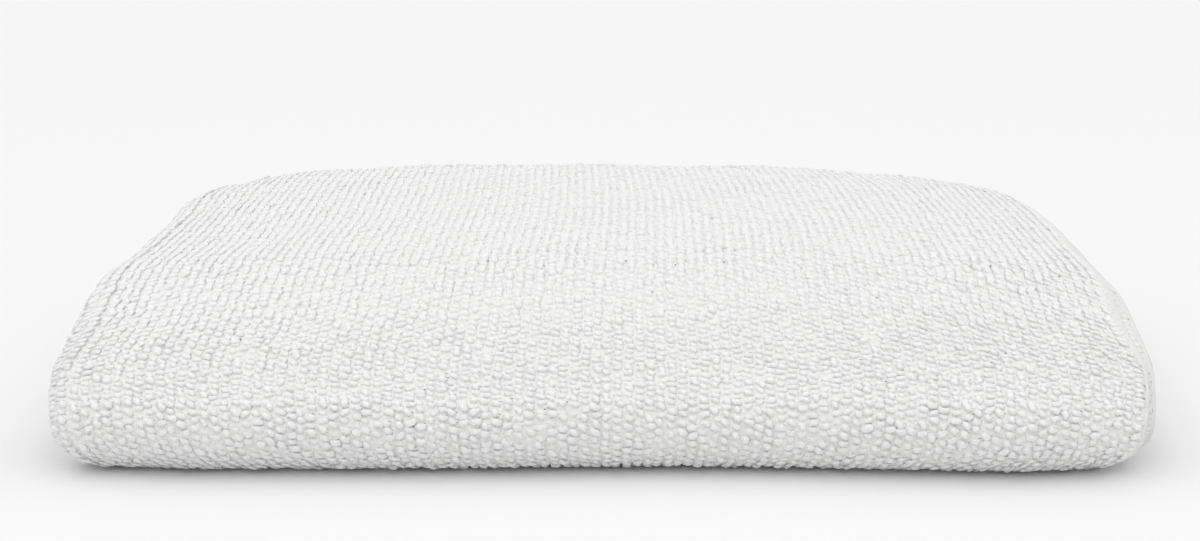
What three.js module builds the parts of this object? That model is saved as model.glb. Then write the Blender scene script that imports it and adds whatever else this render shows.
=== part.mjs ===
// A terry bar mop towel, folded flat: in half across its width, then in half and in half again along
// its length, so that eight layers lie on each other behind one smooth rounded front.
// Sizes are millimetres. X runs along the front, -Y is the rounded front, +Z is up.

import * as THREE from 'three';

// The folded towel
const WIDTH = 203;
const DEPTH = 133;

// The cloth: one layer with the loops of both its faces, and the air between layers
const CLOTH = 3.3;
const AIR = 0.5;

// Its woven edges, which carry no loops
const SELVEDGE = { width: 5, thickness: 2.3 };
const HEM = { width: 11, thickness: 2.5 };
const EDGE_ROUND = 0.8;

// The front: a round nose, then a slope up over the inner fold, with radii at the middle of the
// doubled cloth
const NOSE_RADIUS = 6.5;
const SLOPE_DEGREES = 35;
const BROW_RADIUS = 20;
const INNER_FOLD_BEHIND_FRONT = 27.7;

// How far the two hemmed ends stop short of the back
const HEM_SETBACK = { bottom: 2, inner: 4.5 };

// Folding by hand leaves the edges uneven: how far the strip strays sideways from pass to pass, and
// how much shorter one of its two layers is
const STRAY = { reach: 1.2, wavelength: 190, phase: 0.5 };
const SHORT_LAYER = 1.6;

// The front is pressed down, so its layers are thinner there
const PRESSED = { share: 0.77, from: 18, to: 46 };

// How the pile of layers settles, as shares of its size
const SETTLE = {
  waist: 20,
  underDrawnIn: 0.09,
  overDrawnIn: 0.045,
  crown: 0.03,
  endSink: 0.1,
  backCornerSink: 0.1,
};

// How the corners round off, seen from above: the ends draw in along this much of the depth, and the
// front and the back draw in towards the ends
const CORNERS = {
  front: { within: 30, width: 0.046, depth: 0.05 },
  back: { within: 26, width: 0.05, depth: 0.15 },
};

// Slow unevenness: hand folding leaves the top and the front a little wavy
const TOP_WAVES = [
  { perWidth: 1.1, perDepth: 0.4, phase: 0.6, share: 0.016 },
  { perWidth: -0.7, perDepth: 1.2, phase: 2.1, share: 0.012 },
];
const FRONT_WAVES = [
  { perWidth: 0.9, phase: 1.9, reach: 0.9 },
  { perWidth: 1.9, phase: 0.4, reach: 0.5 },
];

// Fineness of the mesh
const ACROSS_STEPS = 12;
const RUN_STEP = 15;
const TURN_STEP_DEGREES = 22;
const FOLD_STEPS = { outer: 7, inner: 3 };

const COTTON_WHITE = 0xf3f2ee;

// The first fold lays two layers together. This doubled cloth runs back and forth in levels.
const DOUBLED = 2 * CLOTH + AIR;
const LEVEL_RISE = DOUBLED + AIR;
const LAYER_OFFSET = (CLOTH + AIR) / 2;
const HEIGHT = 4 * DOUBLED + 3 * AIR;
const TIGHT_RADIUS = LEVEL_RISE / 2;

const radians = THREE.MathUtils.degToRad;
const blend = THREE.MathUtils.lerp;
const smooth = THREE.MathUtils.smoothstep;

// The route of the doubled cloth from its bottom hem to its inner hem: a run, then a turn, each time.
function routeTable() {
  const slope = radians(SLOPE_DEGREES);
  const front = -DEPTH / 2;
  const noseCentre = front + DOUBLED / 2 + NOSE_RADIUS;
  const innerCentre = front + INNER_FOLD_BEHIND_FRONT;
  const backCentre = DEPTH / 2 - DOUBLED / 2 - TIGHT_RADIUS;
  const noseRise = NOSE_RADIUS * (1 + Math.cos(slope));
  const browRise = BROW_RADIUS * (1 - Math.cos(slope));
  const slopeRun = (3 * LEVEL_RISE - noseRise - browRise) / Math.sin(slope);
  const browEnd = noseCentre + (BROW_RADIUS - NOSE_RADIUS) * Math.sin(slope) + slopeRun * Math.cos(slope);
  return [
    { run: DEPTH / 2 - HEM_SETBACK.bottom - noseCentre, turn: 180 - SLOPE_DEGREES, radius: NOSE_RADIUS },
    { run: slopeRun, turn: SLOPE_DEGREES, radius: BROW_RADIUS },
    { run: backCentre - browEnd, turn: 180, radius: TIGHT_RADIUS },
    { run: backCentre - innerCentre, turn: -180, radius: TIGHT_RADIUS },
    { run: DEPTH / 2 - HEM_SETBACK.inner - innerCentre, turn: 0, radius: 0 },
  ];
}

// Places along the route, each with its heading and its way along the cloth from the bottom hem.
// A heading of 0 looks to the front, and a growing heading turns up and then back.
function walkRoute(table) {
  const place = { y: DEPTH / 2 - HEM_SETBACK.bottom, z: DOUBLED / 2, heading: 0, along: 0 };
  const places = [{ ...place }];
  for (const { run, turn, radius } of table) {
    const runSteps = Math.ceil(run / RUN_STEP);
    for (let step = 0; step < runSteps; step += 1) {
      place.y -= Math.cos(place.heading) * run / runSteps;
      place.z += Math.sin(place.heading) * run / runSteps;
      place.along += run / runSteps;
      places.push({ ...place });
    }
    const turnSteps = Math.ceil(Math.abs(turn) / TURN_STEP_DEGREES);
    for (let step = 0; step < turnSteps; step += 1) {
      const angle = radians(turn) / turnSteps;
      const chord = 2 * radius * Math.sin(Math.abs(angle) / 2);
      place.heading += angle / 2;
      place.y -= Math.cos(place.heading) * chord;
      place.z += Math.sin(place.heading) * chord;
      place.heading += angle / 2;
      place.along += radius * Math.abs(angle);
      places.push({ ...place });
    }
  }
  return places;
}

// The hems need their own steps, where the cloth thins.
function withHemSteps(places) {
  const length = places[places.length - 1].along;
  const marks = [HEM.width, HEM.width + CLOTH / 2];
  const wanted = [...marks, ...marks.map((mark) => length - mark)];
  const extra = wanted.map((along) => {
    const next = places.findIndex((place) => place.along > along);
    const [from, to] = [places[next - 1], places[next]];
    const share = (along - from.along) / (to.along - from.along);
    return {
      y: blend(from.y, to.y, share),
      z: blend(from.z, to.z, share),
      heading: from.heading,
      along,
    };
  });
  return [...places, ...extra].sort((one, other) => one.along - other.along);
}

// Stations along one layer, from its right edge to the start of the left fold, with half the
// thickness of the cloth at each.
function layerStations(rightEdge, foldX, body) {
  const woven = Math.min(body, SELVEDGE.thickness) / 2;
  const pile = rightEdge - SELVEDGE.width - CLOTH / 2;
  const stations = [
    { x: rightEdge, half: woven - EDGE_ROUND },
    { x: rightEdge - EDGE_ROUND, half: woven },
    { x: rightEdge - SELVEDGE.width, half: woven },
    { x: pile, half: body / 2 },
  ];
  for (let step = 1; step <= ACROSS_STEPS; step += 1) {
    const share = (1 - Math.cos(Math.PI * step / ACROSS_STEPS)) / 2;
    stations.push({ x: blend(pile, foldX, share), half: body / 2 });
  }
  return stations;
}

// The outline of the doubled cloth, cut across: two layers joined by the fold at the left.
function doubledOutline(hemShare) {
  const body = blend(CLOTH, HEM.thickness, hemShare);
  const foldX = -WIDTH / 2 + CLOTH + AIR / 2;
  const long = layerStations(WIDTH / 2, foldX, body);
  const short = layerStations(WIDTH / 2 - SHORT_LAYER, foldX, body);
  const outside = (layer, side) => layer.map(({ x, half }) => ({ x, offset: side * (LAYER_OFFSET + half) }));
  const inside = (layer, side) => layer.map(({ x, half }) => ({ x, offset: side * (LAYER_OFFSET - half) }));
  const arc = (radius, steps) => {
    const points = [];
    for (let step = 1; step < steps; step += 1) {
      const angle = Math.PI * (0.5 - step / steps);
      points.push({ x: foldX - radius * Math.cos(angle), offset: radius * Math.sin(angle) });
    }
    return points;
  };
  return [
    ...outside(short, 1),
    ...arc(LAYER_OFFSET + body / 2, FOLD_STEPS.outer),
    ...outside(long, -1).reverse(),
    ...inside(long, -1),
    ...arc(LAYER_OFFSET - body / 2, FOLD_STEPS.inner).reverse(),
    ...inside(short, 1).reverse(),
  ];
}

function waveSum(waves, across, back, size) {
  let sum = 0;
  for (const wave of waves) {
    const turns = across * wave.perWidth + back * (wave.perDepth ?? 0);
    sum += wave[size] * Math.sin(Math.PI * turns + wave.phase);
  }
  return sum;
}

// Settles a point of the squarely folded towel. Each size keeps its order, so layers stay apart.
function settle(point) {
  const across = point.x / (WIDTH / 2);
  const back = point.y / (DEPTH / 2);
  const end = Math.abs(across);
  const under = Math.max(0, 1 - point.z / SETTLE.waist);
  const over = Math.max(0, (point.z - SETTLE.waist) / (HEIGHT - SETTLE.waist));
  const drawnIn = SETTLE.underDrawnIn * under ** 4 + SETTLE.overDrawnIn * over ** 2;
  const corner = back < 0 ? CORNERS.front : CORNERS.back;
  const intoCorner = Math.max(0, 1 - (DEPTH / 2) * (1 - Math.abs(back)) / corner.within);
  const cornerShare = 1 - corner.depth * smooth(end, 0.75, 1.1) * Math.abs(back) ** 2;
  const sunk = SETTLE.endSink * end ** 6
    + SETTLE.backCornerSink * end ** 4 * Math.max(0, back) ** 4;
  const raised = SETTLE.crown * (1 - across ** 2) + waveSum(TOP_WAVES, across, back, 'share');
  const pressed = blend(PRESSED.share, 1, smooth(point.y + DEPTH / 2, PRESSED.from, PRESSED.to));
  const frontShare = smooth(-back, 0, 1);
  point.x *= (1 - drawnIn) * (1 - corner.width * intoCorner ** 2);
  point.y = point.y * cornerShare + frontShare * waveSum(FRONT_WAVES, across, 0, 'reach');
  point.z *= pressed * (1 + raised - sunk);
  return point;
}

// Lofts the outline along the route and closes both hemmed ends.
function foldedCloth() {
  const places = withHemSteps(walkRoute(routeTable()));
  const length = places[places.length - 1].along;
  const positions = [];
  let outline;
  for (const place of places) {
    const fromHem = Math.min(place.along, length - place.along);
    const stray = STRAY.reach * Math.sin(2 * Math.PI * place.along / STRAY.wavelength + STRAY.phase);
    outline = doubledOutline(1 - smooth(fromHem, HEM.width, HEM.width + CLOTH / 2));
    for (const { x, offset } of outline) {
      const y = place.y - offset * Math.sin(place.heading);
      const z = place.z - offset * Math.cos(place.heading);
      positions.push(...settle(new THREE.Vector3(x + stray, y, z)));
    }
  }
  const around = outline.length;
  const indices = [];
  for (let ring = 0; ring + 1 < places.length; ring += 1) {
    for (let step = 0; step < around; step += 1) {
      const next = (step + 1) % around;
      const a = ring * around + step;
      const b = ring * around + next;
      indices.push(a, b + around, b);
      indices.push(a, a + around, b + around);
    }
  }
  const flat = outline.map(({ x, offset }) => new THREE.Vector2(x, offset));
  const last = (places.length - 1) * around;
  for (const [a, b, c] of THREE.ShapeUtils.triangulateShape(flat, [])) {
    indices.push(a, b, c);
    indices.push(last + a, last + c, last + b);
  }
  const geometry = new THREE.BufferGeometry();
  geometry.setAttribute('position', new THREE.Float32BufferAttribute(positions, 3));
  geometry.setIndex(indices);
  return geometry;
}

// Puts the origin under the middle of the towel, on the surface that it rests on.
function standOnOrigin(geometry) {
  geometry.computeBoundingBox();
  const { min, max } = geometry.boundingBox;
  geometry.translate(-(min.x + max.x) / 2, -(min.y + max.y) / 2, -min.z);
  geometry.computeVertexNormals();
  return geometry;
}

function towel() {
  const material = new THREE.MeshStandardMaterial({ color: COTTON_WHITE, roughness: 0.95, metalness: 0 });
  const mesh = new THREE.Mesh(standOnOrigin(foldedCloth()), material);
  mesh.name = 'towel';
  return mesh;
}

const part = new THREE.Group();
part.add(towel());

export default part;
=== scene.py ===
"""A white terry bar mop towel, folded flat, on a plain pale floor.

The cloth is a flat sheet laid in its folds. Loops of yarn cover it row by row, and its two hems are
stitched. Places on the cloth are given as on the flat towel, across it and along it, and the folded
form carries them to their place. Sizes are in metres.
"""

import logging
import math
from dataclasses import dataclass, field
from enum import Enum

import bpy
import numpy as np
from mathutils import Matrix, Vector


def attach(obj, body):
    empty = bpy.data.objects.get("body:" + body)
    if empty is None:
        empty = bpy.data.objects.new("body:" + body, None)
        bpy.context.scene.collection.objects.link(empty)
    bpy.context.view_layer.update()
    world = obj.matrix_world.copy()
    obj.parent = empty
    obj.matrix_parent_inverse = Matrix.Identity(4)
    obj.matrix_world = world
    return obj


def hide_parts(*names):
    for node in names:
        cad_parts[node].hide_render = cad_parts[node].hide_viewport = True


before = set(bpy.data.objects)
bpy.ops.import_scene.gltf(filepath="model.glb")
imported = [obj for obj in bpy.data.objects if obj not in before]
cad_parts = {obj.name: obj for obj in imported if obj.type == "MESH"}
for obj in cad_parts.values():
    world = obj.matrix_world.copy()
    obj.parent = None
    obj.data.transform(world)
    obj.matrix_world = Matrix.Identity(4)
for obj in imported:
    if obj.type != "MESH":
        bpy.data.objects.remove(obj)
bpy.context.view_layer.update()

MM = 0.001
NODE = "towel"
BODY = "root"
NO_BEND = 1e-6  # a stretch that bends less than this is straight
TINY = 1e-12  # keeps a divisor from being zero
FLOOR_GAP = 0.02 * MM  # how near the floor a loop may come

Triple = tuple[float, float, float]
Settings = dict[str, object]
Inputs = dict[object, object]

log = logging.getLogger("bar_mop")


def smooth_step(value: np.ndarray, low: float, high: float) -> np.ndarray:
    """Rises softly from 0 at low to 1 at high."""
    share = np.clip((value - low) / (high - low), 0.0, 1.0)
    return share * share * (3.0 - 2.0 * share)


class Face(Enum):
    """The two faces of the cloth: the one that ends up outside the first fold, and the other."""

    OUTER = 1
    INNER = -1


@dataclass(frozen=True)
class Cloth:
    """The towel as it is cut and hemmed, and how thick it is with its loops.

    Its width and depth are those of the fold, and flat is the whole towel.
    """

    width: float = 203 * MM
    depth: float = 133 * MM
    pile: float = 3.3 * MM
    air: float = 0.5 * MM
    short_layer: float = 1.6 * MM
    selvedge: float = 0.7 * MM
    hem: float = 11 * MM
    flat: tuple[float, float] = (0.406, 0.483)

    @property
    def doubled(self) -> float:
        """Thickness of two layers that lie together."""
        return 2 * self.pile + self.air

    @property
    def level_rise(self) -> float:
        """Height from one pass of the doubled cloth to the next."""
        return self.doubled + self.air

    @property
    def layer_offset(self) -> float:
        """From the middle of the doubled cloth to the middle of one layer."""
        return (self.pile + self.air) / 2

    @property
    def height(self) -> float:
        """Height of the whole fold before it settles."""
        return 4 * self.doubled + 3 * self.air


@dataclass(frozen=True)
class Leg:
    """A straight run of the doubled cloth and the turn at its end, in degrees."""

    run: float
    turn: float
    radius: float


@dataclass
class FoldRoute:
    """The way of the doubled cloth from its bottom hem to its inner hem."""

    cloth: Cloth
    nose_radius: float = 6.5 * MM
    slope: float = 35.0
    brow_radius: float = 20 * MM
    inner_fold: float = 27.7 * MM
    bottom_setback: float = 2 * MM
    inner_setback: float = 4.5 * MM
    legs: list[Leg] = field(init=False)
    starts: np.ndarray = field(init=False)

    def __post_init__(self) -> None:
        """Works out the legs and where each run and each turn starts."""
        self.legs = self._legs()
        y, z = self.cloth.depth / 2 - self.bottom_setback, self.cloth.doubled / 2
        heading, along = 0.0, 0.0
        rows = []
        for leg in self.legs:
            for length, bend in self._stretches(leg):
                rows.append((along, y, z, heading, bend))
                move = self._move(heading, bend, length)
                y, z = y - float(move[0]), z + float(move[1])
                heading, along = heading + bend * length, along + length
        rows.append((along, y, z, heading, 0.0))
        self.starts = np.array(rows)

    def _legs(self) -> list[Leg]:
        """Works out the runs and turns of the fold from its named sizes.

        Returns:
            The legs in order, from the bottom hem to the inner hem.
        """
        cloth, slope = self.cloth, math.radians(self.slope)
        tight = cloth.level_rise / 2
        nose = -cloth.depth / 2 + cloth.doubled / 2 + self.nose_radius
        inner = -cloth.depth / 2 + self.inner_fold
        back = cloth.depth / 2 - cloth.doubled / 2 - tight
        nose_rise = self.nose_radius * (1 + math.cos(slope))
        brow_rise = self.brow_radius * (1 - math.cos(slope))
        slope_run = (3 * cloth.level_rise - nose_rise - brow_rise) / math.sin(slope)
        past_nose = (self.brow_radius - self.nose_radius) * math.sin(slope)
        brow_end = nose + past_nose + slope_run * math.cos(slope)
        return [
            Leg(cloth.depth / 2 - self.bottom_setback - nose, 180 - self.slope, self.nose_radius),
            Leg(slope_run, self.slope, self.brow_radius),
            Leg(back - brow_end, 180, tight),
            Leg(back - inner, -180, tight),
            Leg(cloth.depth / 2 - self.inner_setback - inner, 0, 0),
        ]

    @staticmethod
    def _stretches(leg: Leg) -> list[tuple[float, float]]:
        """Splits a leg into its run and its turn.

        Args:
            leg: The leg.

        Returns:
            Length and bend of the run, and of the turn if there is one.
        """
        found = [(leg.run, 0.0)]
        if leg.turn:
            arc = leg.radius * abs(math.radians(leg.turn))
            found.append((arc, math.copysign(1 / leg.radius, leg.turn)))
        return found

    @staticmethod
    def _move(heading: np.ndarray, bend: np.ndarray,
              length: np.ndarray) -> tuple[np.ndarray, np.ndarray]:
        """Follows stretches of even bend.

        Args:
            heading: Headings at their starts.
            bend: Their bends.
            length: Their lengths.

        Returns:
            How far forward and how far up each goes.
        """
        heading, bend, length = np.broadcast_arrays(heading, bend, length)
        straight = np.abs(bend) < NO_BEND
        safe = np.where(straight, 1.0, bend)
        end = heading + bend * length
        forward = np.where(straight, np.cos(heading) * length, (np.sin(end) - np.sin(heading)) / safe)
        up = np.where(straight, np.sin(heading) * length, (np.cos(heading) - np.cos(end)) / safe)
        return forward, up

    @property
    def length(self) -> float:
        """Length of the route, which is the flat length of the towel."""
        return float(self.starts[-1, 0])

    def start(self, row: int) -> float:
        """Way along the cloth to the start of a run or turn: runs have even rows, turns odd ones."""
        return float(self.starts[row, 0])

    def at(self, along: np.ndarray) -> tuple[np.ndarray, ...]:
        """Where the middle of the doubled cloth lies.

        Args:
            along: Ways along the cloth from its bottom hem.

        Returns:
            The y, z, heading and bend at each.
        """
        row = np.searchsorted(self.starts[:, 0], along, side="right") - 1
        row = np.clip(row, 0, len(self.starts) - 2)
        begun, y, z, heading, bend = np.moveaxis(self.starts[row], -1, 0)
        length = along - begun
        forward, up = self._move(heading, bend, length)
        return y - forward, z + up, heading + bend * length, bend


@dataclass(frozen=True)
class Wave:
    """One slow wave of unevenness, with its turns across and along half the towel."""

    across: float
    back: float
    phase: float
    size: float

    def at(self, across: np.ndarray, back: np.ndarray) -> np.ndarray:
        """Height of the wave at places from -1 to 1."""
        return self.size * np.sin(math.pi * (self.across * across + self.back * back) + self.phase)


@dataclass(frozen=True)
class Corner:
    """How a pair of corners rounds off, seen from above."""

    within: float
    width: float
    depth: float


@dataclass(frozen=True)
class Settling:
    """How the squarely folded towel settles under its own weight and the hand that pressed it."""

    cloth: Cloth
    waist: float = 20 * MM
    under_drawn_in: float = 0.09
    over_drawn_in: float = 0.045
    crown: float = 0.03
    end_sink: float = 0.1
    back_corner_sink: float = 0.1
    pressed: float = 0.77
    pressed_from: float = 18 * MM
    pressed_to: float = 46 * MM
    front: Corner = Corner(30 * MM, 0.046, 0.05)
    back: Corner = Corner(26 * MM, 0.05, 0.15)
    corner_span: tuple[float, float] = (0.75, 1.1)
    top_waves: tuple[Wave, ...] = (Wave(1.1, 0.4, 0.6, 0.016), Wave(-0.7, 1.2, 2.1, 0.012))
    front_waves: tuple[Wave, ...] = (Wave(0.9, 0, 1.9, 0.9 * MM), Wave(1.9, 0, 0.4, 0.5 * MM))
    dents: tuple[Wave, ...] = (
        Wave(3.1, 1.3, 0.3, 0.006), Wave(-4.3, 2.2, 1.7, 0.005), Wave(2.2, -3.7, 4.0, 0.005),
        Wave(6.7, 3.1, 2.2, 0.003), Wave(-5.9, 5.3, 5.1, 0.003),
    )

    def move(self, x: np.ndarray, y: np.ndarray, z: np.ndarray) -> np.ndarray:
        """Settles points. Each direction keeps its order, so layers never touch.

        Args:
            x: Places across the towel.
            y: Places from its front to its back.
            z: Heights.

        Returns:
            The settled points, one to a row.
        """
        half_width, half_depth = self.cloth.width / 2, self.cloth.depth / 2
        across, back = x / half_width, y / half_depth
        end = np.abs(across)
        under = np.clip(1 - z / self.waist, 0, None)
        over = np.clip((z - self.waist) / (self.cloth.height - self.waist), 0, None)
        drawn_in = self.under_drawn_in * under**4 + self.over_drawn_in * over**2
        in_front = back < 0
        within = np.where(in_front, self.front.within, self.back.within)
        into_corner = np.clip(1 - half_depth * (1 - np.abs(back)) / within, 0, None)
        width_share = 1 - np.where(in_front, self.front.width, self.back.width) * into_corner**2
        drawn_back = np.where(in_front, self.front.depth, self.back.depth)
        depth_share = 1 - drawn_back * smooth_step(end, *self.corner_span) * back**2
        sunk = self.end_sink * end**6 + self.back_corner_sink * end**4 * np.clip(back, 0, None) ** 4
        waves = sum(wave.at(across, back) for wave in (*self.top_waves, *self.dents))
        raised = self.crown * (1 - across**2) + waves
        unpressed = smooth_step(y + half_depth, self.pressed_from, self.pressed_to)
        press = self.pressed + (1 - self.pressed) * unpressed
        front_share = smooth_step(-back, 0, 1)
        return np.stack([
            x * (1 - drawn_in) * width_share,
            y * depth_share + front_share * sum(w.at(across, 0 * back) for w in self.front_waves),
            z * press * (1 + raised - sunk),
        ], axis=-1)


@dataclass
class FoldedForm:
    """Carries places on the flat towel to their places in the fold."""

    cloth: Cloth
    route: FoldRoute
    settling: Settling
    stray: float = 1.2 * MM
    stray_wavelength: float = 190 * MM
    stray_phase: float = 0.5
    edge_sag: float = 0.55 * MM
    edge_ripple: float = 0.28 * MM
    ripple_wavelengths: tuple[float, float] = (31 * MM, 47 * MM)
    limp_within: float = 7 * MM
    side_phase: float = 2.3
    lying: tuple[float, float] = (2 * MM, 8 * MM)  # heights where edges lie flat and where they hang
    probe: float = 0.1 * MM
    squeeze_limits: tuple[float, float] = (0.4, 1.2)
    survey: tuple[int, int] = (300, 900)  # places measured across and along
    centre: np.ndarray = field(init=False)

    def __post_init__(self) -> None:
        """Finds the middle of the footprint, so that the origin lies under it."""
        self.centre = np.zeros(3)
        reach = self.cloth.pile / 2
        across = np.linspace(0, self.flat_width, self.survey[0])
        along = np.linspace(0, self.route.length, self.survey[1])
        grid = np.meshgrid(across, along)
        points = np.concatenate([self.place(*grid, lift) for lift in (-reach, reach)]).reshape(-1, 3)
        low, high = points.min(axis=0), points.max(axis=0)
        self.centre = np.array([(low[0] + high[0]) / 2, (low[1] + high[1]) / 2, 0.0])

    @property
    def fold_x(self) -> float:
        """Where the layers start to turn into the left fold."""
        return -self.cloth.width / 2 + self.cloth.pile + self.cloth.air / 2

    @property
    def to_fold(self) -> float:
        """Across the shorter layer, from its selvedge to the left fold."""
        return self.cloth.width / 2 - self.cloth.short_layer - self.fold_x

    @property
    def past_fold(self) -> float:
        """Across the shorter layer and round the left fold."""
        return self.to_fold + math.pi * self.cloth.layer_offset

    @property
    def flat_width(self) -> float:
        """Across the whole towel, from selvedge to selvedge."""
        return self.past_fold + self.cloth.width / 2 - self.fold_x

    def from_selvedge(self, across: np.ndarray) -> np.ndarray:
        """Distance to the nearer selvedge."""
        return np.minimum(across, self.flat_width - across)

    def from_hem(self, along: np.ndarray) -> np.ndarray:
        """Distance to the nearer hemmed end."""
        return np.minimum(along, self.route.length - along)

    def place(self, across: np.ndarray, along: np.ndarray, lift: np.ndarray) -> np.ndarray:
        """Carries points on or near the flat towel into the fold.

        Args:
            across: Ways from the shorter layer's selvedge.
            along: Ways from the bottom hem.
            lift: Heights off the middle of the cloth, towards its outer face.

        Returns:
            Points in the frame, in the last axis.
        """
        across, along, lift = np.broadcast_arrays(across, along, lift)
        offset_size = self.cloth.layer_offset + lift
        angle = np.clip((across - self.to_fold) / self.cloth.layer_offset, 0, math.pi)
        to_fold = np.clip(self.to_fold - across, 0, None)
        past_fold = np.clip(across - self.past_fold, 0, None)
        x = self.fold_x + to_fold + past_fold - offset_size * np.sin(angle)
        offset = offset_size * np.cos(angle)
        middle_y, middle_z, heading, _ = self.route.at(along)
        y = middle_y - offset * np.sin(heading)
        z = middle_z - offset * np.cos(heading)
        z = z + self._edge_droop(across, along) * np.cos(heading) ** 2 * smooth_step(z, *self.lying)
        x = x + self.stray * np.sin(2 * math.pi * along / self.stray_wavelength + self.stray_phase)
        return self.settling.move(x, y, z) - self.centre

    def _edge_droop(self, across: np.ndarray, along: np.ndarray) -> np.ndarray:
        """Lets the limp woven edges hang and ripple.

        Args:
            across: Ways from the shorter layer's selvedge.
            along: Ways from the bottom hem.

        Returns:
            How far each place is raised.
        """
        free = 1 - smooth_step(self.from_selvedge(across), 0, self.limp_within)
        side = np.where(across < self.flat_width / 2, 0.0, self.side_phase)
        first, second = self.ripple_wavelengths
        ripple = np.sin(2 * math.pi * along / first + side)
        ripple = ripple + np.sin(2 * math.pi * along / second + 3 * side)
        return free * (self.edge_ripple * ripple / 2 - self.edge_sag)

    def squeeze(self, across: np.ndarray, along: np.ndarray) -> np.ndarray:
        """Finds how much of its thickness the cloth keeps, measured square to its face.

        Args:
            across: Ways from the shorter layer's selvedge.
            along: Ways from the bottom hem.

        Returns:
            The share kept at each place.
        """
        step = self.probe
        lengthwise = self.place(across, along + step, 0.0) - self.place(across, along - step, 0.0)
        crosswise = self.place(across + step, along, 0.0) - self.place(across - step, along, 0.0)
        square = np.cross(crosswise, lengthwise)
        square /= np.linalg.norm(square, axis=-1, keepdims=True) + TINY
        through = (self.place(across, along, step) - self.place(across, along, -step)) / (2 * step)
        return np.clip(np.abs(np.sum(through * square, axis=-1)), *self.squeeze_limits)

    def along_stretch(self, across: np.ndarray, along: np.ndarray, lift: float) -> np.ndarray:
        """Finds how much longer the cloth's face is than the route, where it turns.

        Args:
            across: Ways from the shorter layer's selvedge.
            along: Ways from the bottom hem.
            lift: Height off the middle of the cloth.

        Returns:
            The stretch at each place.
        """
        angle = np.clip((across - self.to_fold) / self.cloth.layer_offset, 0, math.pi)
        bend = self.route.at(along)[3]
        return 1 + (self.cloth.layer_offset + lift) * np.cos(angle) * bend

    def across_stretch(self, across: np.ndarray, lift: float) -> np.ndarray:
        """How much wider the cloth's face is than its middle in the left fold."""
        in_fold = (across > self.to_fold) & (across < self.past_fold)
        return np.where(in_fold, 1 + lift / self.cloth.layer_offset, 1.0)


class Number:
    """A number that varies over a surface: a shader socket with arithmetic."""

    def __init__(self, finish: "FinishTree", socket: bpy.types.NodeSocket) -> None:
        """Wraps an output socket of a node in that tree."""
        self.finish = finish
        self.socket = socket

    def _math(self, operation: str, first: object, second: object) -> "Number":
        """Adds a Math node of two terms."""
        node = self.finish.node("ShaderNodeMath", {"operation": operation}, {0: first, 1: second})
        return Number(self.finish, node.outputs[0])

    def __add__(self, other: object) -> "Number":
        """Sum."""
        return self._math("ADD", self, other)

    def __sub__(self, other: object) -> "Number":
        """Difference."""
        return self._math("SUBTRACT", self, other)

    def __rsub__(self, other: object) -> "Number":
        """Difference from a plain number."""
        return self._math("SUBTRACT", other, self)

    def __mul__(self, other: object) -> "Number":
        """Product."""
        return self._math("MULTIPLY", self, other)

    def sine(self) -> "Number":
        """Sine."""
        return self._math("SINE", self, 0.0)

    __radd__ = __add__
    __rmul__ = __mul__


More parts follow.
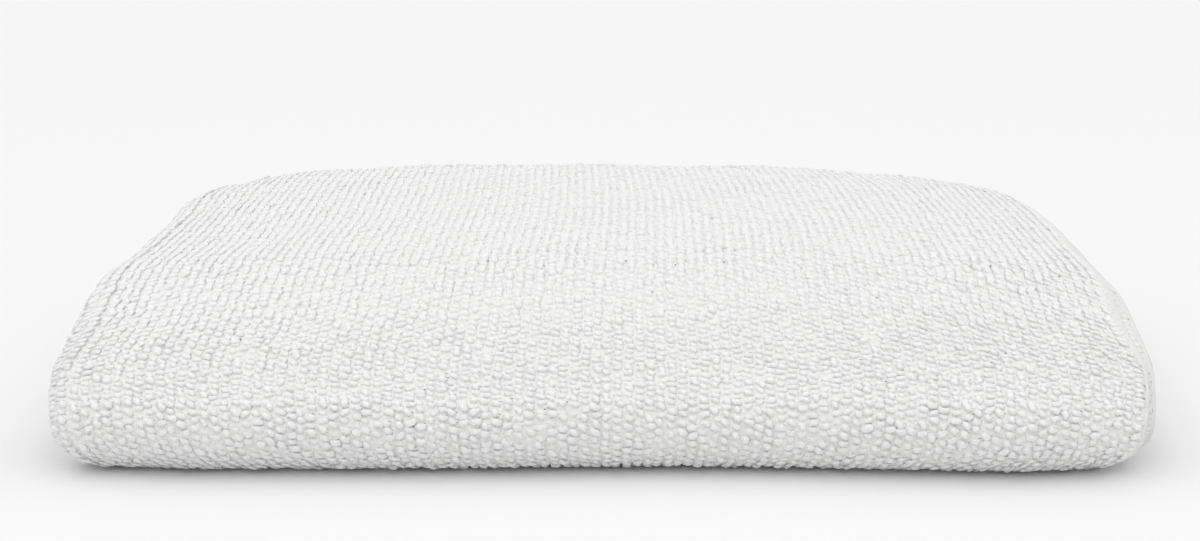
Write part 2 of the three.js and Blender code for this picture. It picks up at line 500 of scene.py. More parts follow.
class FinishTree:
    """A material's nodes, with its Principled shader ready."""

    def __init__(self, name: str) -> None:
        """Makes an empty material.

        Args:
            name: Its name.
        """
        self.material = bpy.data.materials.new(name)
        self.material.use_nodes = True
        self.nodes = self.material.node_tree.nodes
        self.links = self.material.node_tree.links
        self.shader = next(n for n in self.nodes if n.type == "BSDF_PRINCIPLED")

    def node(self, kind: str, settings: Settings, inputs: Inputs) -> bpy.types.Node:
        """Adds a node.

        Args:
            kind: The node's type.
            settings: Its own settings, set first.
            inputs: A value, a Number or a socket for each input, by name or place.

        Returns:
            The new node.
        """
        made = self.nodes.new(kind)
        for name, value in settings.items():
            setattr(made, name, value)
        for key, value in inputs.items():
            self.feed(made.inputs[key], value)
        return made

    def feed(self, socket: bpy.types.NodeSocket, value: object) -> None:
        """Links a Number or socket to an input, or sets its value.

        Args:
            socket: The input.
            value: What feeds it.
        """
        if isinstance(value, Number):
            value = value.socket
        if isinstance(value, bpy.types.NodeSocket):
            self.links.new(value, socket)
        else:
            socket.default_value = value

    def number(self, kind: str, settings: Settings, inputs: Inputs, output: object) -> Number:
        """Adds a node and wraps one of its outputs."""
        return Number(self, self.node(kind, settings, inputs).outputs[output])

    def place(self) -> bpy.types.NodeSocket:
        """Places on the object, in metres."""
        return self.node("ShaderNodeTexCoord", {}, {}).outputs["Object"]

    def noise(self, scale: float, detail: float, roughness: float = 0.5) -> Number:
        """Noise over the object, with that many grains to the metre."""
        inputs = {"Vector": self.place(), "Scale": scale, "Detail": detail, "Roughness": roughness}
        return self.number("ShaderNodeTexNoise", {}, inputs, "Fac")

    def knobs(self, scale: float) -> Number:
        """Rounded knobs over the object, that many to the metre."""
        inputs = {"Vector": self.place(), "Scale": scale}
        return 1.0 - self.number("ShaderNodeTexVoronoi", {}, inputs, "Distance")

    def attribute(self, name: str) -> Number:
        """A number that the mesh itself carries."""
        return self.number("ShaderNodeAttribute", {"attribute_name": name}, {}, "Fac")

    def flat_place(self) -> tuple[Number, Number]:
        """Places by the piece's own UV map.

        Returns:
            The two numbers of the map.
        """
        unwrapped = self.node("ShaderNodeUVMap", {}, {}).outputs[0]
        split = self.node("ShaderNodeSeparateXYZ", {}, {0: unwrapped})
        return Number(self, split.outputs[0]), Number(self, split.outputs[1])

    def blend(self, share: Number, low: Triple, high: Triple) -> bpy.types.NodeSocket:
        """Blends two colours.

        Args:
            share: Share of the second.
            low: The first, as red, green and blue.
            high: The second.

        Returns:
            The blended colour.
        """
        # A Mix node keeps its two colours in inputs 6 and 7, and the mixed one in output 2.
        settings = {"data_type": "RGBA", "clamp_factor": True}
        mix = self.node("ShaderNodeMix", settings, {0: share, 6: (*low, 1.0), 7: (*high, 1.0)})
        return mix.outputs[2]

    def relief(self, height: Number, distance: float, strength: float) -> None:
        """Raises the surface by a height field.

        Args:
            height: The field.
            distance: Height of 1 in it, in metres.
            strength: Share of it that shows.
        """
        inputs = {"Height": height, "Distance": distance, "Strength": strength}
        bump = self.node("ShaderNodeBump", {}, inputs)
        self.feed(self.shader.inputs["Normal"], bump.outputs["Normal"])


@dataclass(frozen=True)
class Cotton:
    """What the cotton finishes share: two shades, roughness, relief and sheen."""

    shade: Triple
    light: Triple
    rough: float
    rough_spread: float
    relief_height: float
    relief_strength: float
    sheen: float = 0.0
    sheen_rough: float = 0.5

    def finish(self, tree: FinishTree, share: Number, fuzz: Number,
               height: Number) -> bpy.types.Material:
        """Feeds the shader.

        Args:
            tree: The material's nodes.
            share: Share of the lighter shade.
            fuzz: What makes the surface rougher.
            height: What raises it.

        Returns:
            The material.
        """
        tree.feed(tree.shader.inputs["Base Color"], tree.blend(share, self.shade, self.light))
        tree.feed(tree.shader.inputs["Roughness"], self.rough + fuzz * self.rough_spread)
        tree.shader.inputs["Sheen Weight"].default_value = self.sheen
        tree.shader.inputs["Sheen Roughness"].default_value = self.sheen_rough
        tree.relief(height, self.relief_height, self.relief_strength)
        return tree.material


@dataclass(frozen=True)
class PileYarn(Cotton):
    """Soft, twisted, bleached cotton yarn of the loops."""

    # shade is both the loops' darker random tone and the painted shade at their feet
    shade: Triple = (0.905, 0.902, 0.89)
    light: Triple = (0.935, 0.935, 0.937)
    rough: float = 0.82
    rough_spread: float = 0.16
    relief_height: float = 0.1 * MM
    relief_strength: float = 0.6
    sheen: float = 0.3
    sheen_rough: float = 0.6
    grain: Triple = (2600.0, 3.0, 0.65)
    plies: float = 2.0
    turns: float = 5.0
    tint_turns: float = 7.0
    tint_light: float = 0.35
    painted_foot_shade: float = 0.45
    fuzz_light: float = 0.3
    ply_height: float = 0.5
    fuzz_height: float = 1.2

    def build(self) -> bpy.types.Material:
        """Makes the material. Loops carry their own tint and how near their crown a point is; their
        feet get painted shade.

        Returns:
            The material.
        """
        tree = FinishTree("pile_yarn")
        around, along = tree.flat_place()
        fuzz, tint, crown = tree.noise(*self.grain), tree.attribute("tint"), tree.attribute("crown")
        turned = around * self.plies + along * self.turns + tint * self.tint_turns
        ply = (turned * (2 * math.pi)).sine()
        # painted shade: the crown share lightens the crowns, so each loop's feet are painted darker and
        # warmer
        share = tint * self.tint_light + crown * self.painted_foot_shade + fuzz * self.fuzz_light
        return self.finish(tree, share, fuzz, ply * self.ply_height + fuzz * self.fuzz_height)


@dataclass(frozen=True)
class GroundWeave(Cotton):
    """The plain weave under the loops, which shows bare at the selvedges and hems.

    Its lightness and height each have three weights: of the pattern, of fuzz, and a plain number.
    """

    # painted shade: the ground is darker and warmer than the loops, for the shade in the pits between
    # them
    shade: Triple = (0.88, 0.876, 0.86)
    light: Triple = (0.93, 0.928, 0.922)
    rough: float = 0.84
    rough_spread: float = 0.14
    relief_height: float = 0.16 * MM
    relief_strength: float = 0.7
    sheen: float = 0.2
    sheen_rough: float = 0.6
    grain: Triple = (2200.0, 3.0, 0.6)
    tufts: float = 1150.0
    warp_pitch: float = 0.62 * MM
    weft_pitch: float = 0.7 * MM
    woven_light: Triple = (0.2, 0.4, 0.35)
    # painted shade in the hollows between tufts, with fuzz for random tone
    tufted_painted_shade_and_tone: Triple = (1.3, 0.3, -0.35)
    woven_height: Triple = (0.8, 0.5, 0.0)
    tufted_height: Triple = (4.2, 0.8, 0.0)

    def build(self, form: FoldedForm) -> bpy.types.Material:
        """Makes the material. Its weave follows the flat cloth, whose UV map runs from 0 to 1.

        Args:
            form: The folded form, which knows the size of the flat cloth.

        Returns:
            The material.
        """
        tree = FinishTree("ground_weave")
        across, along = tree.flat_place()
        bare = tree.attribute("bare")
        piled = 1.0 - bare
        warp = (across * (2 * math.pi * form.flat_width / self.warp_pitch)).sine()
        weft = (along * (2 * math.pi * form.route.length / self.weft_pitch)).sine()
        weave, tufts, fuzz = warp * weft, tree.knobs(self.tufts), tree.noise(*self.grain)
        woven = self._weigh(weave, fuzz, self.woven_light)
        # painted shade: where loops stand, the tufts' tops are lighter and the hollows between them
        # darker
        tufted = self._weigh(tufts, fuzz, self.tufted_painted_shade_and_tone)
        low = self._weigh(weave, fuzz, self.woven_height)
        high = self._weigh(tufts, fuzz, self.tufted_height)
        return self.finish(tree, woven * bare + tufted * piled, fuzz, low * bare + high * piled)

    @staticmethod
    def _weigh(pattern: Number, fuzz: Number, weights: Triple) -> Number:
        """Adds up a pattern, fuzz and a plain number by their weights."""
        return pattern * weights[0] + fuzz * weights[1] + weights[2]


@dataclass(frozen=True)
class SewingThread(Cotton):
    """The firmer, smoother cotton thread of the hem stitches."""

    shade: Triple = (0.84, 0.84, 0.83)
    light: Triple = (0.91, 0.91, 0.905)
    rough: float = 0.62
    rough_spread: float = 0.05
    relief_height: float = 0.05 * MM
    relief_strength: float = 0.7
    grain: tuple[float, float] = (1800.0, 2.0)
    plies: float = 2.0
    turns: float = 7.0
    tint_light: float = 0.5
    fuzz_light: float = 0.5

    def build(self) -> bpy.types.Material:
        """Makes the material.

        Returns:
            The material.
        """
        tree = FinishTree("sewing_thread")
        around, along = tree.flat_place()
        twist = ((around * self.plies + along * self.turns) * (2 * math.pi)).sine()
        share = tree.attribute("tint") * self.tint_light + tree.noise(*self.grain) * self.fuzz_light
        return self.finish(tree, share, twist, twist)


@dataclass(frozen=True)
class FloorFinish:
    """A plain matt white studio floor."""

    colour: tuple[float, float, float, float] = (0.9, 0.9, 0.9, 1.0)
    rough: float = 0.9
    gloss: float = 0.1

    def build(self) -> bpy.types.Material:
        """Makes the material.

        Returns:
            The material.
        """
        tree = FinishTree("studio_floor")
        tree.shader.inputs["Base Color"].default_value = self.colour
        tree.shader.inputs["Roughness"].default_value = self.rough
        tree.shader.inputs["Specular IOR Level"].default_value = self.gloss
        return tree.material


def dress(piece: bpy.types.Object, material: bpy.types.Material) -> None:
    """Gives a piece its material and lets it ride on the towel's body.

    Args:
        piece: The piece.
        material: Its material.
    """
    piece.data.materials.clear()
    piece.data.materials.append(material)
    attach(piece, BODY)


def write_numbers(mesh: bpy.types.Mesh, name: str, values: np.ndarray) -> None:
    """Writes a number for each vertex, which materials read by its name."""
    numbers = mesh.attributes.new(name, "FLOAT", "POINT")
    numbers.data.foreach_set("value", values.astype(np.float32))


@dataclass
class ClothSheet:
    """The woven cloth itself: one sheet in its folds, thick at the hems and thin at the selvedges."""

    form: FoldedForm
    ground: float = 2.1 * MM
    bare_edge: float = 0.9 * MM
    hem_fold: float = 2.3 * MM
    step: float = 5 * MM
    turn_step: float = 1.3 * MM
    fold_steps: int = 8
    edge_line: float = 0.3 * MM
    edge_shoulder: float = 0.9 * MM
    hem_line: float = 0.5 * MM
    hem_shoulder: float = 1.2 * MM
    hem_thinned: float = 0.6
    least_step: float = 0.3 * MM
    bare_sides: tuple[float, float] = (0.7 * MM, 1.7 * MM)
    bare_ends: tuple[float, float] = (10 * MM, 12 * MM)

    def stations_across(self) -> np.ndarray:
        """Places the sheet's lengthwise lines, close together in the left fold and at the selvedges.

        Returns:
            Their ways across the flat cloth.
        """
        form, edge = self.form, self.form.cloth.selvedge
        near = [0.0, self.edge_line, edge, edge + self.edge_shoulder]
        first = np.linspace(near[-1], form.to_fold, round(form.to_fold / self.step))
        fold = np.linspace(form.to_fold, form.past_fold, self.fold_steps + 1)
        far = [form.flat_width - place for place in reversed(near)]
        second = np.linspace(form.past_fold, far[0], round(form.to_fold / self.step))
        return np.concatenate([near[:-1], first, fold[1:-1], second, far[1:]])

    def stations_along(self) -> np.ndarray:
        """Places the crosswise lines, close together in the turns and at the hems.

        Returns:
            Their ways along the flat cloth.
        """
        form, hem = self.form, self.form.cloth.hem
        marks = [row[0] for row in form.route.starts]
        places = []
        for number, (begin, end) in enumerate(zip(marks, marks[1:])):
            step = self.turn_step if number % 2 else self.step
            count = max(2, math.ceil((end - begin) / step))
            places.append(np.linspace(begin, end, count, endpoint=False))
        near = np.array([0.0, self.hem_line, hem - self.hem_shoulder, hem])
        places = np.concatenate([*places, [marks[-1]], near, form.route.length - near])
        places = np.unique(np.round(places, 6))  # to a micrometre
        return places[np.concatenate([[True], np.diff(places) > self.least_step])]

    def thickness(self, across: np.ndarray, along: np.ndarray) -> np.ndarray:
        """Finds the thickness of the sheet: ground cloth, bare selvedge or folded hem.

        Args:
            across: Ways from the shorter layer's selvedge.
            along: Ways from the bottom hem.

        Returns:
            The thickness at each place.
        """
        edge, hem = self.form.cloth.selvedge, self.form.cloth.hem
        bare = 1 - smooth_step(self.form.from_selvedge(across), edge, edge + self.edge_shoulder)
        hemmed = 1 - smooth_step(self.form.from_hem(along), hem - self.hem_shoulder, hem)
        body = self.ground + (self.bare_edge - self.ground) * bare
        full = smooth_step(self.form.from_hem(along), 0, self.hem_line)
        rounded = self.hem_thinned + (1 - self.hem_thinned) * full
        return (body + (self.hem_fold - body) * hemmed) * rounded

    def build(self) -> bpy.types.Object:
        """Lays the flat sheet in its folds and gives it its thickness.

        Returns:
            The sheet, as a closed thin mesh.
        """
        across, along = self.stations_across(), self.stations_along()
        counts = (len(across) - 1, len(along) - 1)
        bpy.ops.mesh.primitive_grid_add(x_subdivisions=counts[0], y_subdivisions=counts[1], size=1)
        sheet = bpy.context.object
        sheet.name = sheet.data.name = "towel_cloth"
        points = np.zeros(len(sheet.data.vertices) * 3)
        sheet.data.vertices.foreach_get("co", points)
        points = points.reshape(-1, 3)
        columns = np.round((points[:, 0] + 0.5) * counts[0]).astype(int)
        rows = np.round((points[:, 1] + 0.5) * counts[1]).astype(int)
        flat_x, flat_y = across[columns], along[rows]
        folded = self.form.place(flat_x, flat_y, 0.0)
        sheet.data.vertices.foreach_set("co", folded.ravel())
        self._map_flat(sheet, flat_x, flat_y)
        self._thicken(sheet, flat_x, flat_y)
        return sheet

    def _map_flat(self, sheet: bpy.types.Object, across: np.ndarray, along: np.ndarray) -> None:
        """Writes the flat cloth into the UV map.

        Args:
            sheet: The sheet.
            across: Each point's way across the flat cloth.
            along: Each point's way along it.
        """
        corner = np.zeros(len(sheet.data.loops), dtype=np.int32)
        sheet.data.loops.foreach_get("vertex_index", corner)
        flat = np.stack([across / self.form.flat_width, along / self.form.route.length], axis=-1)
        sheet.data.uv_layers[0].data.foreach_set("uv", flat[corner].ravel())

    def _thicken(self, sheet: bpy.types.Object, across: np.ndarray, along: np.ndarray) -> None:
        """Adds the thickness on both sides of the sheet, less where the fold is pressed.

        Args:
            sheet: The sheet.
            across: Each point's way across the flat cloth.
            along: Each point's way along it.
        """
        wanted = self.thickness(across, along) * np.sqrt(self.form.squeeze(across, along))
        piled = smooth_step(self.form.from_selvedge(across), *self.bare_sides)
        bare = 1 - piled * smooth_step(self.form.from_hem(along), *self.bare_ends)
        write_numbers(sheet.data, "bare", bare)
        most = float(wanted.max())
        group = sheet.vertex_groups.new(name="thickness")
        for vertex, weight in enumerate(wanted / most):
            group.add([vertex], float(weight), "REPLACE")
        solid = sheet.modifiers.new("thickness", "SOLIDIFY")
        solid.thickness = most
        solid.offset = 0
        solid.vertex_group = group.name
        solid.use_even_offset = False
        bpy.ops.object.select_all(action="DESELECT")
        sheet.select_set(True)
        bpy.context.view_layer.objects.active = sheet
        bpy.ops.object.modifier_apply(modifier=solid.name)
        sheet.vertex_groups.clear()
        bpy.ops.object.shade_smooth()
        for vertex in sheet.data.vertices:
            vertex.co.z = max(vertex.co.z, 0.0)


@dataclass(frozen=True)
class Yarn:
    """How one kind of loop is spun, bent and meshed."""

    feet: float = 0.6 * MM  # between its two feet
    belly: float = 1.92 * MM  # across its widest part
    foot: float = 0.15 * MM  # from the middle of the cloth up to its feet
    rise: float = 0.98 * MM  # from its feet to its crown
    radius: float = 0.64 * MM
    spread: float = 1.15  # how much wider than round the strand is
    arch: float = 0.75  # power of its rise, less than 1 for a broad crown
    bulge: float = 1.45
    bow: float = 1.3  # power of its lean, more than 1 for upright feet
    thinnest: float = 0.7  # share of the radius at its feet
    lean: float = 0.45 * MM
    heading: float = -15.0  # degrees from the line across the towel
    snarl: float = 38.0  # degrees that its crown turns past its feet
    unruly: float = 1.05  # share of the scatter
    rings: int = 5
    sides: int = 5


@dataclass(frozen=True)
class Scatter:
    """How much loops differ: a standard deviation of each thing, and what the pile's slow sway adds."""

    size: float = 0.12
    lean: float = 0.45
    sideways: float = 0.15 * MM
    heading: float = 20.0
    snarl: float = 0.4
    radius: float = 0.08
    shift: float = 0.11 * MM
    tint: float = 0.22
    sway_lean: float = 0.5
    sway_sideways: float = 0.25 * MM
    sway_tint: float = 0.2


@dataclass
class LoopField:
    """Many loops of yarn on the cloth, joined into one mesh."""

    form: FoldedForm
    yarn: Yarn
    name: str
    seed: int
    scatter: Scatter = Scatter()
    sway_scale: float = 0.1
    least_stretch: float = 0.25
    sways: tuple[Wave, ...] = (
        Wave(2.3, 1.1, 0.4, 0.4), Wave(-1.6, 2.9, 2.0, 0.4), Wave(4.7, -3.4, 4.4, 0.3),
    )

    def build(self, across: np.ndarray, along: np.ndarray, face: Face) -> bpy.types.Object:
        """Makes a loop at each place.

        Args:
            across: Places across the flat towel.
            along: Places along it.
            face: The face of the cloth that the loops stand on.

        Returns:
            The joined mesh.
        """
        rng = np.random.default_rng(self.seed)
        sway = sum(wave.at(across / self.sway_scale, along / self.sway_scale) for wave in self.sways)
        local = self._loops(rng, len(across), sway)
        side = face.value * (self.yarn.foot + self.yarn.rise)
        along_share = np.clip(self.form.along_stretch(across, along, side), self.least_stretch, None)
        across_share = np.clip(self.form.across_stretch(across, side), self.least_stretch, None)
        fluffed = face.value / np.sqrt(self.form.squeeze(across, along))
        points = self.form.place(
            across[:, None] + local[..., 0] / across_share[:, None],
            along[:, None] + local[..., 1] / along_share[:, None],
            local[..., 2] * fluffed[:, None],
        )
        points[..., 2] = np.maximum(points[..., 2], FLOOR_GAP)
        odd = self.scatter
        tint = np.clip(0.5 + odd.sway_tint * sway + odd.tint * rng.normal(0, 1, len(across)), 0, 1)
        return self._mesh(points, tint, face)

    def _loops(self, rng: np.random.Generator, count: int, sway: np.ndarray) -> np.ndarray:
        """Shapes the loops.

        Args:
            rng: The source of their unevenness.
            count: How many there are.
            sway: The slow sway of the pile at each.

        Returns:
            Points by loop, across, along and up from each loop's place.
        """
        yarn, wild, odd = self.yarn, self.yarn.unruly, self.scatter
        spread = rng.normal(0, 1, (count, 9)) * wild
        belly = yarn.belly * (1 + odd.size * spread[:, 0])
        rise = yarn.rise * (1 + odd.size * spread[:, 1])
        lean = yarn.lean * (1 + odd.sway_lean * sway + odd.lean * spread[:, 2])
        sideways = odd.sway_sideways * wild * sway + odd.sideways * spread[:, 3]
        heading = math.radians(yarn.heading) + math.radians(odd.heading) * spread[:, 4]
        snarl = math.radians(yarn.snarl) * (1 + odd.snarl * spread[:, 5])
        radius = yarn.radius * (1 + odd.radius * spread[:, 6])
        shift = odd.shift * spread[:, 7:]
        angle = np.linspace(0, math.pi, yarn.rings + 2)
        up = np.sin(angle) ** yarn.arch
        bowed = up**yarn.bow
        width = yarn.feet + yarn.bulge * (belly[:, None] - yarn.feet) * np.sin(angle)
        out = -np.cos(angle) * width / 2
        turned = heading[:, None] + snarl[:, None] * up
        middle = np.stack([
            out * np.cos(turned) + sideways[:, None] * bowed + shift[:, :1],
            out * np.sin(turned) - lean[:, None] * bowed + shift[:, 1:],
            yarn.foot + rise[:, None] * up,
        ], axis=-1)
        way = np.gradient(middle, axis=1)
        way /= np.linalg.norm(way, axis=-1, keepdims=True)
        flat = np.stack([-np.sin(turned), np.cos(turned), 0 * turned], axis=-1)
        side = flat - way * np.sum(way * flat, axis=-1, keepdims=True)
        side /= np.linalg.norm(side, axis=-1, keepdims=True)
        other = np.cross(way, side)
        around = np.linspace(0, 2 * math.pi, yarn.sides, endpoint=False)[:, None]
        share = yarn.thinnest + (1 - yarn.thinnest) * np.sin(angle[1:-1, None, None])
        wide, high = yarn.spread * np.cos(around), np.sin(around) / yarn.spread
        ring = side[:, 1:-1, None] * wide + other[:, 1:-1, None] * high
        ring = middle[:, 1:-1, None] + radius[:, None, None, None] * share * ring
        return np.concatenate([middle[:, :1], ring.reshape(count, -1, 3), middle[:, -1:]], axis=1)

    def _faces(self, face: Face) -> tuple[list[tuple[int, ...]], list[list[tuple[float, float]]]]:
        """Lists the faces of one loop.

        Args:
            face: The face of the cloth that it stands on, which decides their turn.

        Returns:
            The faces, and the UV of each of their corners.
        """
        sides, rings = self.yarn.sides, self.yarn.rings
        faces, flat = [], []
        last, top, step = sides * rings + 1, 1 + (rings - 1) * sides, 1 / (rings + 1)
        for side in range(sides):
            after = (side + 1) % sides
            left, right = side / sides, (side + 1) / sides
            faces.append((0, 1 + after, 1 + side))
            flat.append([(left, 0.0), (right, step), (left, step)])
            for ring in range(rings - 1):
                low, high = 1 + ring * sides, 1 + (ring + 1) * sides
                faces.append((low + side, low + after, high + after, high + side))
                below, above = (ring + 1) * step, (ring + 2) * step
                flat.append([(left, below), (right, below), (right, above), (left, above)])
            faces.append((top + side, top + after, last))
            flat.append([(left, 1 - step), (right, 1 - step), (left, 1.0)])
        if face is Face.OUTER:
            faces = [tuple(reversed(one)) for one in faces]
            flat = [list(reversed(one)) for one in flat]
        return faces, flat

    def _mesh(self, points: np.ndarray, tint: np.ndarray, face: Face) -> bpy.types.Object:
        """Joins the loops into one smooth mesh, with their tints.

        Args:
            points: Points by loop.
            tint: Each loop's tint.
            face: The face of the cloth that they stand on.

        Returns:
            The joined mesh.
        """
        count, each = points.shape[:2]
        faces, flat = self._faces(face)
        corners = np.concatenate([np.array(one) for one in faces])
        places = np.concatenate([np.array(one) for one in flat])
        sizes = np.array([len(one) for one in faces])
        mesh = bpy.data.meshes.new(self.name)
        mesh.vertices.add(count * each)
        mesh.vertices.foreach_set("co", points.reshape(-1))
        mesh.loops.add(count * len(corners))
        every = (np.arange(count)[:, None] * each + corners).ravel()
        mesh.loops.foreach_set("vertex_index", every.astype(np.int32))
        mesh.polygons.add(count * len(faces))
        starts = np.concatenate([[0], np.cumsum(np.tile(sizes, count))[:-1]])
        mesh.polygons.foreach_set("loop_start", starts.astype(np.int32))
        mesh.update(calc_edges=True)
        mesh.polygons.foreach_set("use_smooth", np.ones(count * len(faces), dtype=bool))
        layer = mesh.uv_layers.new(name="UVMap")
        layer.data.foreach_set("uv", np.tile(places.ravel(), count))
        write_numbers(mesh, "tint", np.repeat(tint, each))
        # the pile material paints shade at the loops' feet from this share
        write_numbers(mesh, "crown", np.tile(self._crown(), count))
        piece = bpy.data.objects.new(self.name, mesh)
        bpy.context.scene.collection.objects.link(piece)
        return piece

    def _crown(self) -> np.ndarray:
        """Finds how near each point of a loop is to its crown.

        Returns:
            A share from 0 to 1 for each point.
        """
        angle = np.linspace(0, math.pi, self.yarn.rings + 2)
        rings = np.repeat(np.sin(angle[1:-1]), self.yarn.sides)
        return np.concatenate([[0.0], rings, [0.0]])


@dataclass
class TerryPile:
    """The loops on both faces of the cloth, wherever they can be seen."""

    form: FoldedForm
    column_pitch: float = 1.98 * MM
    row_pitch: float = 1.4 * MM
    under_row_pitch: float = 2.1 * MM
    opening: float = 0.7
    hem_margin: float = 0.6 * MM
    fold_margin: float = 0.5 * MM
    behind: float = 8 * MM
    samples: int = 4000
    least_stretch: float = 0.3
    fine: Yarn = Yarn()
    pressed: Yarn = Yarn(rise=0.84 * MM, radius=0.66 * MM, unruly=0.95)
    flattened: Yarn = Yarn(rings=4, sides=5, rise=0.9 * MM, radius=0.62 * MM)
    under: Yarn = Yarn(rings=3, sides=4, rise=0.9 * MM, radius=0.74 * MM)
    edge_columns: int = 3

    def _rows(self, begin: float, end: float, across: float, pitch: float, first: float) -> np.ndarray:
        """Places rows, which open up where the cloth's face is stretched round a turn.

        Args:
            begin: Way along the cloth where they begin.
            end: Way along it where they end.
            across: Way across it of the column that they are for.
            pitch: Way from row to row on the flat cloth.
            first: Where the first row lies, in rows from the beginning.

        Returns:
            Their ways along the cloth.
        """
        ways = np.linspace(begin, end, self.samples)
        lift = self.fine.foot + self.fine.rise
        stretch = self.form.along_stretch(np.full_like(ways, across), ways, lift)
        density = np.clip(stretch, self.least_stretch, None) ** (1 - self.opening)
        travelled = np.concatenate([[0], np.cumsum((density[1:] + density[:-1]) / 2 * np.diff(ways))])
        count = round(travelled[-1] / pitch)
        return np.interp((np.arange(count) + first) * travelled[-1] / count, travelled, ways)

    def _columns(self, begin: float, end: float) -> np.ndarray:
        """Columns between two ways across the cloth."""
        count = max(1, round((end - begin) / self.column_pitch))
        return begin + (np.arange(count) + 0.5) * (end - begin) / count

    def _field(self, name: str, yarn: Yarn, seed: int, columns: np.ndarray, span: tuple[float, float],
               pitch: float = 0.0, face: Face = Face.OUTER, by_column: bool = False,
               first: float = 0.25) -> bpy.types.Object:
        """Loops at every crossing of columns and rows.

        Args:
            name: Name of the piece.
            yarn: Its kind of loop.
            seed: Seed of its unevenness.
            columns: Places of the columns.
            span: Ways along the cloth where the rows begin and end.
            pitch: Way from row to row on the flat cloth, if not the usual one.
            face: The face that the loops stand on.
            by_column: Whether each column spaces its own rows.
            first: Where the first row lies, in rows from the beginning.

        Returns:
            The joined mesh.
        """
        pitch = pitch or self.row_pitch
        middle = float(columns.mean())
        rows = [
            self._rows(*span, float(one) if by_column else middle, pitch, first + 0.5 * (number % 2))
            for number, one in enumerate(columns)
        ]
        across = np.concatenate([np.full(len(row), one) for one, row in zip(columns, rows)])
        return LoopField(self.form, yarn, name, seed).build(across, np.concatenate(rows), face)

    def build(self) -> list[bpy.types.Object]:
        """Makes the fields of loops.

        Returns:
            One piece for each part of the towel.
        """
        form, route = self.form, self.form.route
        bare = form.cloth.selvedge
        hem = form.cloth.hem + self.hem_margin
        outside = self._columns(bare, form.to_fold - self.fold_margin)
        nose, slope, brow_end, back = (route.start(row) for row in (1, 2, 4, 5))
        middle = (brow_end + back) / 2
        behind = route.start(6) + self.behind
        pieces = [
            self._field("pile_under", self.under, 11, outside, (hem, nose), self.under_row_pitch),
            self._field("pile_nose", self.fine, 12, outside, (nose, slope)),
            self._field("pile_slope", self.pressed, 21, outside, (slope, brow_end)),
            self._field("pile_top_front", self.pressed, 13, outside, (brow_end, middle)),
            self._field("pile_top_back", self.pressed, 14, outside, (middle, back)),
            self._field("pile_back_fold", self.fine, 15, outside, (back, behind)),
            self._left_folds((hem, route.length - hem)),
        ]
        pieces += self._right_edges(bare, hem, behind)
        return pieces

    def _left_folds(self, span: tuple[float, float]) -> bpy.types.Object:
        """Makes the loops round the stacked folds at the left.

        Args:
            span: Ways along the cloth where they begin and end.

        Returns:
            The joined mesh.
        """
        form = self.form
        turned = (form.past_fold - form.to_fold) * (1 + self.fine.rise / form.cloth.layer_offset)
        count = round(turned / self.column_pitch)
        fold = form.to_fold + (np.arange(count) + 0.5) * (form.past_fold - form.to_fold) / count
        columns = np.append(fold, form.past_fold + 0.5 * self.column_pitch)
        return self._field("pile_left_folds", self.fine, 16, columns, span, by_column=True)

    def _right_edges(self, bare: float, hem: float, behind: float) -> list[bpy.types.Object]:
        """Makes the loops beside the selvedges, where they show between the layers.

        Args:
            bare: Width of the bare selvedge.
            hem: Way from a hemmed end to the first loops.
            behind: Way along the cloth where the back fold's own loops end.

        Returns:
            One piece for each layer's face.
        """
        form = self.form
        make, yarn, pitch = self._field, self.flattened, self.under_row_pitch
        deep = self.edge_columns * self.column_pitch
        short = self._columns(bare, bare + deep)
        long = form.flat_width - short
        whole, inside = (hem, form.route.length - hem), (behind, form.route.length - hem)
        return [
            make("pile_edge_short_in", yarn, 17, short, whole, pitch, Face.INNER, True),
            make("pile_edge_long_in", yarn, 18, long, whole, pitch, Face.INNER, True),
            make("pile_edge_long_out", yarn, 19, long, whole, pitch, by_column=True),
            make("pile_edge_short_out", yarn, 20, short, inside, pitch, by_column=True),
        ]


@dataclass
class HemStitching:
    """A row of lockstitches along each hem, on both faces."""

    form: FoldedForm
    pitch: float = 3.1 * MM
    inset: float = 1.9 * MM
    first_seed: int = 30
    yarn: Yarn = Yarn(feet=2.2 * MM, belly=2.3 * MM, rise=0.3 * MM, foot=0.98 * MM, radius=0.2 * MM,
                      spread=1.0, lean=0.0, heading=0.0, snarl=0.0, unruly=0.25, rings=3, sides=6)

    def build(self) -> list[bpy.types.Object]:
        """Sews the stitches.

        Returns:
            One piece for each hem and face.
        """
        form = self.form
        count = int(form.flat_width / self.pitch)
        across = (np.arange(count) + 0.5) * form.flat_width / count
        line = form.cloth.hem - self.inset
        ends = {"bottom": line, "inner": form.route.length - line}
        pieces = []
        for name, along in ends.items():
            for face in Face:
                title = f"stitches_{name}_{face.name.lower()}"
                row = LoopField(form, self.yarn, title, self.first_seed + len(pieces))
                pieces.append(row.build(across, np.full(count, along), face))
        return pieces


@dataclass(frozen=True)
class Lamp:
    """A soft rectangular studio lamp."""

    name: str
    place: Triple
    aim: Triple
    size: tuple[float, float]
    power: float

    def build(self) -> bpy.types.Object:
        """Hangs the lamp and turns it to its aim.

        Returns:
            The lamp.
        """
        light = bpy.data.lights.new(self.name, "AREA")
        light.shape = "RECTANGLE"
        light.size, light.size_y = self.size
        light.energy = self.power
        lamp = bpy.data.objects.new(self.name, light)
        lamp.location = self.place
        towards = Vector(self.aim) - Vector(self.place)
        lamp.rotation_euler = towards.to_track_quat("-Z", "Y").to_euler()
        bpy.context.scene.collection.objects.link(lamp)
        return lamp


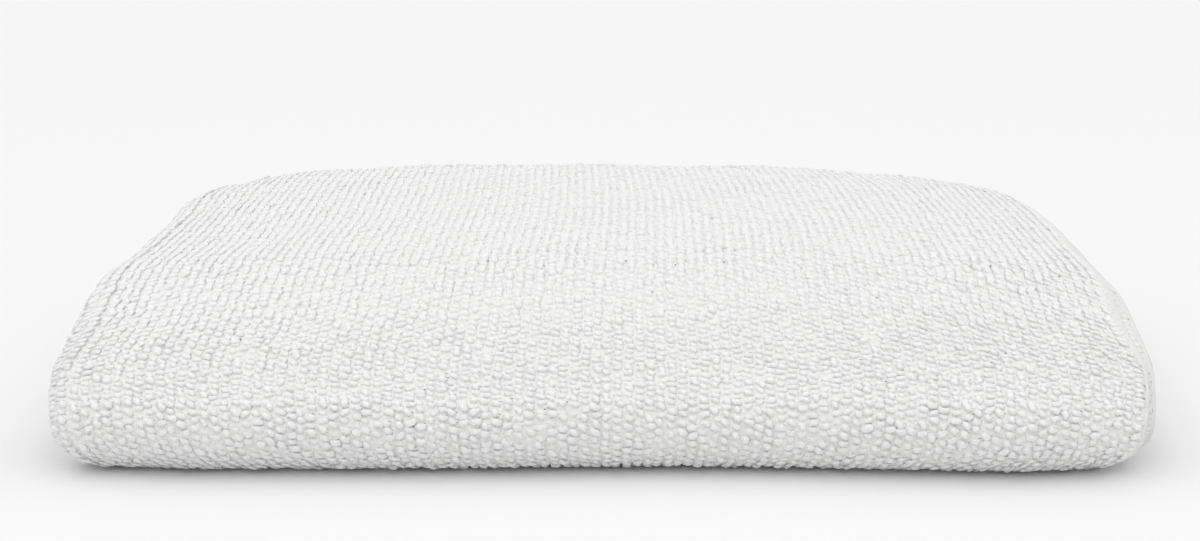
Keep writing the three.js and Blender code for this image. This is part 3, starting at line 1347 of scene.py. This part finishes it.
@dataclass
class Studio:
    """The floor, the lights and the camera, which aren't part of the towel."""

    image_width: int = 1200
    focal_pixels: float = 1750.0
    sensor: float = 36.0
    camera_place: Triple = (-1.3 * MM, -352 * MM, 117.3 * MM)
    pitch_down: float = 15.32
    clip: tuple[float, float] = (0.01, 50.0)
    floor_reach: float = 12.0
    floor_sides: int = 96
    lamps: tuple[Lamp, ...] = (
        Lamp("near_lamp", (0, -0.45, 0.5), (0, -0.04, 0.01), (0.35, 0.25), 0.15),
    )
    sky: tuple[float, float] = (0.26, 1.42)

    def build(self) -> None:
        """Sets up the whole studio."""
        self._floor()
        for lamp in self.lamps:
            lamp.build()
        self._sky()
        self._camera()
        bpy.context.scene.view_settings.view_transform = "Standard"

    def _floor(self) -> None:
        """Lays the wide, round floor."""
        bpy.ops.mesh.primitive_circle_add(
            vertices=self.floor_sides, radius=self.floor_reach, fill_type="NGON")
        floor = bpy.context.object
        floor.name = floor.data.name = "studio_floor"
        floor.data.materials.append(FloorFinish().build())

    def _sky(self) -> None:
        """White light from all round, brightest from overhead, as in a light tent."""
        world = bpy.data.worlds.new("studio_air")
        bpy.context.scene.world = world
        world.use_nodes = True
        nodes, links = world.node_tree.nodes, world.node_tree.links
        way, split, rise = (nodes.new(kind) for kind in (
            "ShaderNodeTexCoord", "ShaderNodeSeparateXYZ", "ShaderNodeMapRange"))
        rise.inputs["To Min"].default_value, rise.inputs["To Max"].default_value = self.sky
        links.new(way.outputs["Generated"], split.inputs["Vector"])
        links.new(split.outputs["Z"], rise.inputs["Value"])
        nodes["Background"].inputs["Color"].default_value = (1, 1, 1, 1)
        links.new(rise.outputs["Result"], nodes["Background"].inputs["Strength"])

    def _camera(self) -> None:
        """Stands the camera where the picture was taken."""
        data = bpy.data.cameras.new("camera")
        data.sensor_width = self.sensor
        data.lens = self.focal_pixels / self.image_width * self.sensor
        data.clip_start, data.clip_end = self.clip
        camera = bpy.data.objects.new("camera", data)
        camera.location = self.camera_place
        camera.rotation_euler = (math.radians(90 - self.pitch_down), 0, 0)
        bpy.context.scene.collection.objects.link(camera)
        bpy.context.scene.camera = camera


def triangles(piece: bpy.types.Object) -> int:
    """Triangles of a piece's mesh."""
    return sum(len(face.vertices) - 2 for face in piece.data.polygons)


def main() -> None:
    """Builds the towel and its studio, and reports each piece."""
    logging.basicConfig(level=logging.INFO, format="%(message)s", force=True)
    bpy.ops.object.select_all(action="DESELECT")
    cloth = Cloth()
    form = FoldedForm(cloth, FoldRoute(cloth), Settling(cloth))
    sheet = ClothSheet(form).build()
    dress(sheet, GroundWeave().build(form))
    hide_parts(NODE)
    pile = TerryPile(form).build()
    yarn = PileYarn().build()
    for piece in pile:
        dress(piece, yarn)
    stitches = HemStitching(form).build()
    thread = SewingThread().build()
    for piece in stitches:
        dress(piece, thread)
    for piece in (sheet, *pile, *stitches):
        log.info("%s: %d triangles", piece.name, triangles(piece))
    log.info("all: %d triangles", sum(triangles(piece) for piece in (sheet, *pile, *stitches)))
    Studio().build()


if __name__ == "__main__":
    main()
